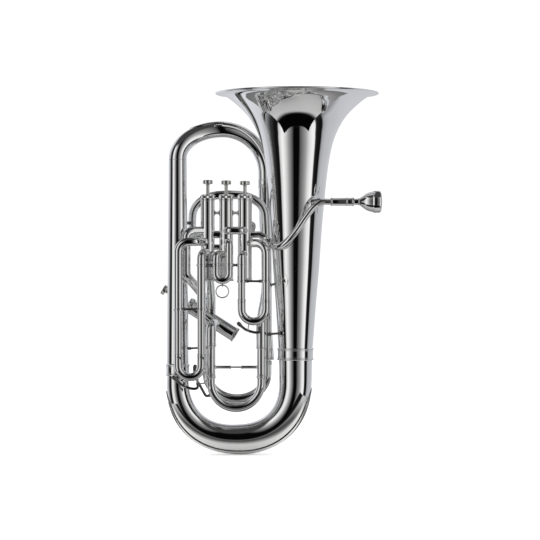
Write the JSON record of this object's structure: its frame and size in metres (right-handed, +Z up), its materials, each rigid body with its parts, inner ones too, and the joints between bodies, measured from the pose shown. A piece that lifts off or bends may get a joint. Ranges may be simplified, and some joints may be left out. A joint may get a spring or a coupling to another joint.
{
  "type": "euphonium",
  "caption": "Upright-bell compensating euphonium with piston valves, sliding crooks, water keys and a removable mouthpiece.",
  "frame": {"origin": "bottom centre of the overall box, under the bottom bow", "axes": "+Z up along the bell and valves, +X from the side-valve side towards the bell and mouthpiece side, +Y away from the side that carries the valve slides; -Y faces the viewer"},
  "size_m": [0.4064, 0.3008, 0.6655],
  "materials": {
    "silver_plate": "mirror-polished silver plate over brass",
    "valve_piston": "lapped nickel silver",
    "spring_steel": "plain spring wire"
  },
  "bodies": {
    "horn": {"bell": "silver_plate", "bell_ferrule": "silver_plate", "bottom_bow": "silver_plate", "bottom_bow_guard": "silver_plate", "compensating_loop_1": "silver_plate", "compensating_loop_2": "silver_plate", "compensating_return": "silver_plate", "feed_tube": "silver_plate", "first_slide_lower_sleeve": "silver_plate", "first_slide_upper_sleeve": "silver_plate", "fourth_loop": "silver_plate", "fourth_slide_sleeve": "silver_plate", "knuckle_1_2": "silver_plate", "knuckle_2_3_lower": "silver_plate", "knuckle_2_3_upper": "silver_plate", "leadpipe": "silver_plate", "main_branch": "silver_plate", "main_slide_sleeve": "silver_plate", "outer_branch": "silver_plate", "receiver": "silver_plate", "second_slide_lower_sleeve": "silver_plate", "second_slide_upper_sleeve": "silver_plate", "third_slide_lower_sleeve": "silver_plate", "third_slide_upper_sleeve": "silver_plate", "top_bow": "silver_plate", "top_bow_guard": "silver_plate", "valve_1_bottom_cap": "silver_plate", "valve_1_casing": "silver_plate", "valve_1_spring": "spring_steel", "valve_1_top_cap": "silver_plate", "valve_2_bottom_cap": "silver_plate", "valve_2_casing": "silver_plate", "valve_2_spring": "spring_steel", "valve_2_top_cap": "silver_plate", "valve_3_bottom_cap": "silver_plate", "valve_3_casing": "silver_plate", "valve_3_spring": "spring_steel", "valve_3_top_cap": "silver_plate", "valve_4_bottom_cap": "silver_plate", "valve_4_casing": "silver_plate", "valve_4_spring": "spring_steel", "valve_4_top_cap": "silver_plate"},
    "valve_1_action": {"valve_1_piston": "valve_piston", "valve_1_button": "silver_plate"},
    "valve_2_action": {"valve_2_piston": "valve_piston", "valve_2_button": "silver_plate"},
    "valve_3_action": {"valve_3_piston": "valve_piston", "valve_3_button": "silver_plate"},
    "valve_4_action": {"valve_4_piston": "valve_piston", "valve_4_button": "silver_plate"},
    "first_valve_slide": {"first_slide": "silver_plate"},
    "second_valve_slide": {"second_slide": "silver_plate"},
    "third_valve_slide": {"third_slide": "silver_plate"},
    "fourth_valve_slide": {"fourth_slide": "silver_plate"},
    "main_slide": {"main_tuning_slide": "silver_plate"},
    "slide_ring": {"pull_ring": "silver_plate"},
    "first_water_key": {"water_key_1": "silver_plate"},
    "third_water_key": {"water_key_3": "silver_plate"},
    "main_water_key": {"water_key_main": "silver_plate"},
    "mouthpiece_body": {"mouthpiece": "silver_plate"}
  },
  "joints": [
    {"name": "valve_1_press", "type": "slide", "parent": "horn", "child": "valve_1_action", "axis": [0, 0, -1], "range_m": [0, 0.0135], "stiffness_N_per_m": 60, "springref_m": -0.03, "deforming": ["valve_1_spring"]},
    {"name": "valve_2_press", "type": "slide", "parent": "horn", "child": "valve_2_action", "axis": [0, 0, -1], "range_m": [0, 0.0135], "stiffness_N_per_m": 60, "springref_m": -0.03, "deforming": ["valve_2_spring"]},
    {"name": "valve_3_press", "type": "slide", "parent": "horn", "child": "valve_3_action", "axis": [0, 0, -1], "range_m": [0, 0.0135], "stiffness_N_per_m": 60, "springref_m": -0.03, "deforming": ["valve_3_spring"]},
    {"name": "valve_4_press", "type": "slide", "parent": "horn", "child": "valve_4_action", "axis": [0.8437, 0, -0.5368], "range_m": [0, 0.0135], "stiffness_N_per_m": 60, "springref_m": -0.03, "deforming": ["valve_4_spring"]},
    {"name": "first_slide_pull", "type": "slide", "parent": "horn", "child": "first_valve_slide", "axis": [0, 0, -1], "range_m": [0, 0.028], "stiffness_N_per_m": 40, "springref_m": -0.05},
    {"name": "second_slide_pull", "type": "slide", "parent": "horn", "child": "second_valve_slide", "axis": [0, 0, -1], "range_m": [0, 0.009], "stiffness_N_per_m": 40, "springref_m": -0.05},
    {"name": "third_slide_pull", "type": "slide", "parent": "horn", "child": "third_valve_slide", "axis": [0, 0, -1], "range_m": [0, 0.06], "stiffness_N_per_m": 40, "springref_m": -0.05},
    {"name": "fourth_slide_pull", "type": "slide", "parent": "horn", "child": "fourth_valve_slide", "axis": [0, 0, -1], "range_m": [0, 0.022], "stiffness_N_per_m": 40, "springref_m": -0.05},
    {"name": "main_tuning_slide_pull", "type": "slide", "parent": "horn", "child": "main_slide", "axis": [0, 0, -1], "range_m": [0, 0.034], "stiffness_N_per_m": 40, "springref_m": -0.05},
    {"name": "first_water_key_lift", "type": "hinge", "parent": "first_valve_slide", "child": "first_water_key", "pos_m": [-0.04045, -0.03, 0.22854], "axis": [0, 1, 0], "range_deg": [0, 12], "stiffness_Nm_per_rad": 0.05, "springref_deg": -28.65},
    {"name": "third_water_key_lift", "type": "hinge", "parent": "third_valve_slide", "child": "third_water_key", "pos_m": [-0.15485, -0.041, 0.12694], "axis": [0, 1, 0], "range_deg": [0, 8], "stiffness_Nm_per_rad": 0.05, "springref_deg": -28.65},
    {"name": "main_water_key_lift", "type": "hinge", "parent": "main_slide", "child": "main_water_key", "pos_m": [-0.13065, 0.014, 0.12904], "axis": [0, 1, 0], "range_deg": [0, 10], "stiffness_Nm_per_rad": 0.05, "springref_deg": -28.65},
    {"name": "pull_ring_swing", "type": "hinge", "parent": "second_valve_slide", "child": "slide_ring", "pos_m": [-0.08705, -0.03, 0.31154], "axis": [1, 0, 0], "range_deg": [-40, 30]},
    {"name": "mouthpiece_lift_out", "type": "slide", "parent": "horn", "child": "mouthpiece_body", "axis": [0.9982, 0.06, 0], "range_m": [0, 0.045]}
  ]
}
